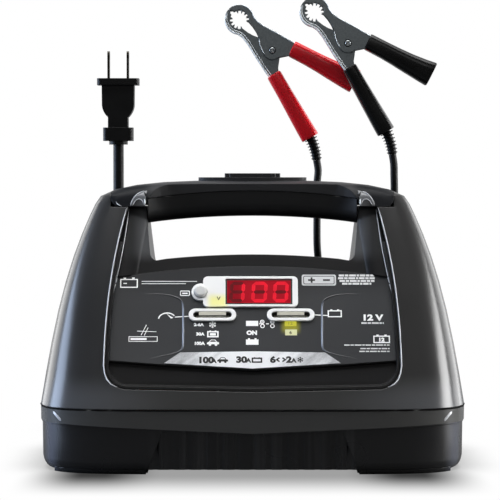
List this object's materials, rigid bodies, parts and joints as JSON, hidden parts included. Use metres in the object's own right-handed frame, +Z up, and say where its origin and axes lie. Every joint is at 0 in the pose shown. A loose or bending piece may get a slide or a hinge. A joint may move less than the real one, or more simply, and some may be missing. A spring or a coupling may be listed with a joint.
{
  "type": "car battery charger",
  "caption": "Bench battery charger with a sloping control panel, carrying handle, mains lead with flat-blade plug and two spring clamps.",
  "frame": {"origin": "middle of the case's footprint on the bench, level with the undersides of the rubber feet", "axes": "+X along the case's width, to the right of someone who faces the control panel, -Y out of the front, +Z up"},
  "size_m": [0.2764, 0.3385, 0.3004],
  "materials": {
    "case_plastic": "fine moulded grain",
    "tray_plastic": "satin moulded",
    "grip_plastic": "fine grained",
    "foot_rubber": "matte",
    "screw_steel": "zinc plated",
    "label_film": "fine sparkle satin",
    "silver_film": "metallic print",
    "white_plastic": "smooth",
    "red_window": "clear tinted",
    "ivory_plastic": "smooth",
    "button_plastic": "smooth",
    "circuit_board": "solder mask",
    "dark_component": "moulded",
    "display_plastic": "moulded",
    "led_lens": "clear moulded",
    "capacitor_sleeve": "shrunk sleeve",
    "sink_aluminium": "extruded",
    "core_steel": "varnished laminations",
    "bobbin_plastic": "moulded",
    "winding_copper": "enamelled wire",
    "breaker_plastic": "moulded",
    "cord_jacket": "satin jacket",
    "tie_plastic": "satin",
    "plug_plastic": "satin moulded",
    "blade_brass": "bright rolled",
    "rivet_steel": "zinc plated",
    "clamp_steel": "plated sheet",
    "spring_steel": "drawn wire",
    "red_vinyl": "gloss dipped vinyl",
    "black_vinyl": "gloss dipped vinyl"
  },
  "bodies": {
    "charger": {"base_tray": "tray_plastic", "rubber_feet": "foot_rubber", "case_screws": "screw_steel", "upper_housing": "case_plastic", "front_fascia": "case_plastic", "handle_cover": "case_plastic", "handle_grip": "grip_plastic", "cord_clips": "case_plastic", "panel_label": "label_film", "rating_strip": "silver_film", "display_bezel": "white_plastic", "display_window": "red_window", "key_surrounds": "white_plastic", "control_board": "circuit_board", "digit_display": "display_plastic", "key_switches": "dark_component", "indicator_leds": "led_lens", "board_screws": "screw_steel", "power_board": "circuit_board", "capacitors": "capacitor_sleeve", "relay": "dark_component", "heat_sink": "sink_aluminium", "rectifiers": "dark_component", "transformer_core": "core_steel", "transformer_bobbin": "bobbin_plastic", "transformer_winding": "winding_copper", "transformer_bolts": "screw_steel", "fan_frame": "dark_component", "circuit_breaker": "breaker_plastic", "mains_strain_relief": "plug_plastic", "lead_grommets": "plug_plastic", "mains_cord": "cord_jacket", "mains_coil": "cord_jacket", "red_lead": "cord_jacket", "red_coil": "cord_jacket", "black_lead": "cord_jacket", "black_coil": "cord_jacket", "coil_ties": "tie_plastic", "plug_body": "plug_plastic", "plug_blades": "blade_brass", "lead_boots": "plug_plastic", "clamp_rivets": "rivet_steel", "red_lead_arm": "clamp_steel", "red_lead_grip": "red_vinyl", "red_spring": "spring_steel", "black_lead_arm": "clamp_steel", "black_lead_grip": "black_vinyl", "black_spring": "spring_steel"},
    "display_button": {"display_button": "button_plastic"},
    "rate_key": {"rate_key": "ivory_plastic"},
    "type_key": {"type_key": "ivory_plastic"},
    "fan_rotor": {"fan_rotor": "dark_component"},
    "red_free": {"red_free_arm": "clamp_steel", "red_free_grip": "red_vinyl"},
    "black_free": {"black_free_arm": "clamp_steel", "black_free_grip": "black_vinyl"}
  },
  "joints": [
    {"name": "button_press", "type": "slide", "parent": "charger", "child": "display_button", "axis": [0, 0.8829, -0.4695], "range_m": [0, 0.0012], "stiffness_N_per_m": 500, "springref_m": -0.0008},
    {"name": "rate_key_press", "type": "slide", "parent": "charger", "child": "rate_key", "axis": [0, 0.8829, -0.4695], "range_m": [0, 0.0012], "stiffness_N_per_m": 500, "springref_m": -0.0008},
    {"name": "type_key_press", "type": "slide", "parent": "charger", "child": "type_key", "axis": [0, 0.8829, -0.4695], "range_m": [0, 0.0012], "stiffness_N_per_m": 500, "springref_m": -0.0008},
    {"name": "fan_spin", "type": "hinge", "parent": "charger", "child": "fan_rotor", "pos_m": [0.092, 0, 0.076], "axis": [1, 0, 0], "continuous": true},
    {"name": "red_clamp_open", "type": "hinge", "parent": "charger", "child": "red_free", "pos_m": [0.0132, 0.05, 0.2662], "axis": [0, 1, 0], "range_deg": [0, 24], "stiffness_Nm_per_rad": 0.5, "springref_deg": -17.19, "deforming": ["red_spring"]},
    {"name": "black_clamp_open", "type": "hinge", "parent": "charger", "child": "black_free", "pos_m": [0.0627, 0.031, 0.27], "axis": [0, 1, 0], "range_deg": [0, 24], "stiffness_Nm_per_rad": 0.5, "springref_deg": -17.19, "deforming": ["black_spring"]}
  ]
}
